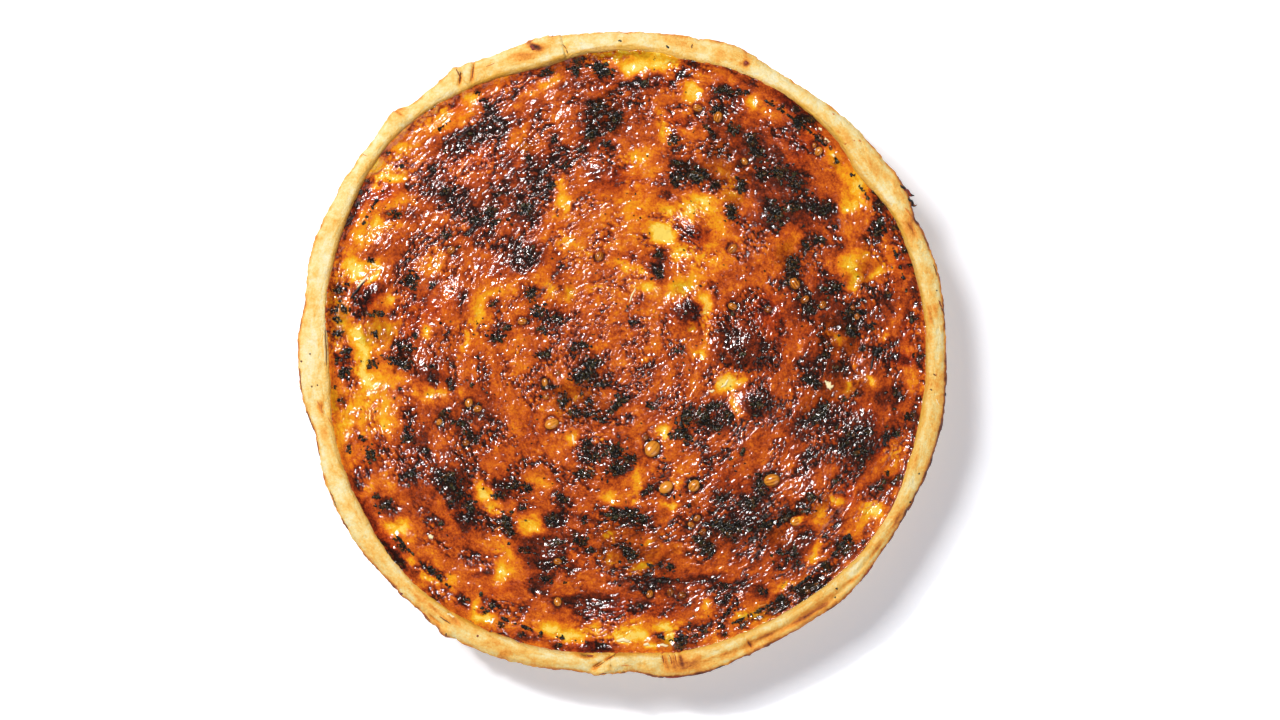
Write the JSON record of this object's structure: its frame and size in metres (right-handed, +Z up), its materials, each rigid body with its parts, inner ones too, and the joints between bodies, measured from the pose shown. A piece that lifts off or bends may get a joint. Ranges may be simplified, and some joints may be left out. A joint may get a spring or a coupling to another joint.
{
  "type": "whole quiche",
  "caption": "Whole round quiche: a deep shortcrust case with an uneven hand-trimmed rim, filled to the brim with herb and seed custard baked to a browned, blistered skin.",
  "frame": {"origin": "centre of the flat base, at the height of the surface that it stands on", "axes": "+Z up, out of the custard's skin; +X to the right and +Y to the top of the picture, which looks straight down"},
  "size_m": [0.2197, 0.2188, 0.0398],
  "materials": {
    "baked_shortcrust": "dry and matt, pale golden with a thin browned outer edge",
    "baked_custard": "oily and glossy, orange to dark brown with yellow patches",
    "toasted_herbs": "near-black green, crisp, with a little oil on it",
    "whole_seeds": "translucent amber skin under a film of oil"
  },
  "bodies": {
    "root": {"pastry_case": "baked_shortcrust", "custard_filling": "baked_custard"}
  },
  "joints": []
}
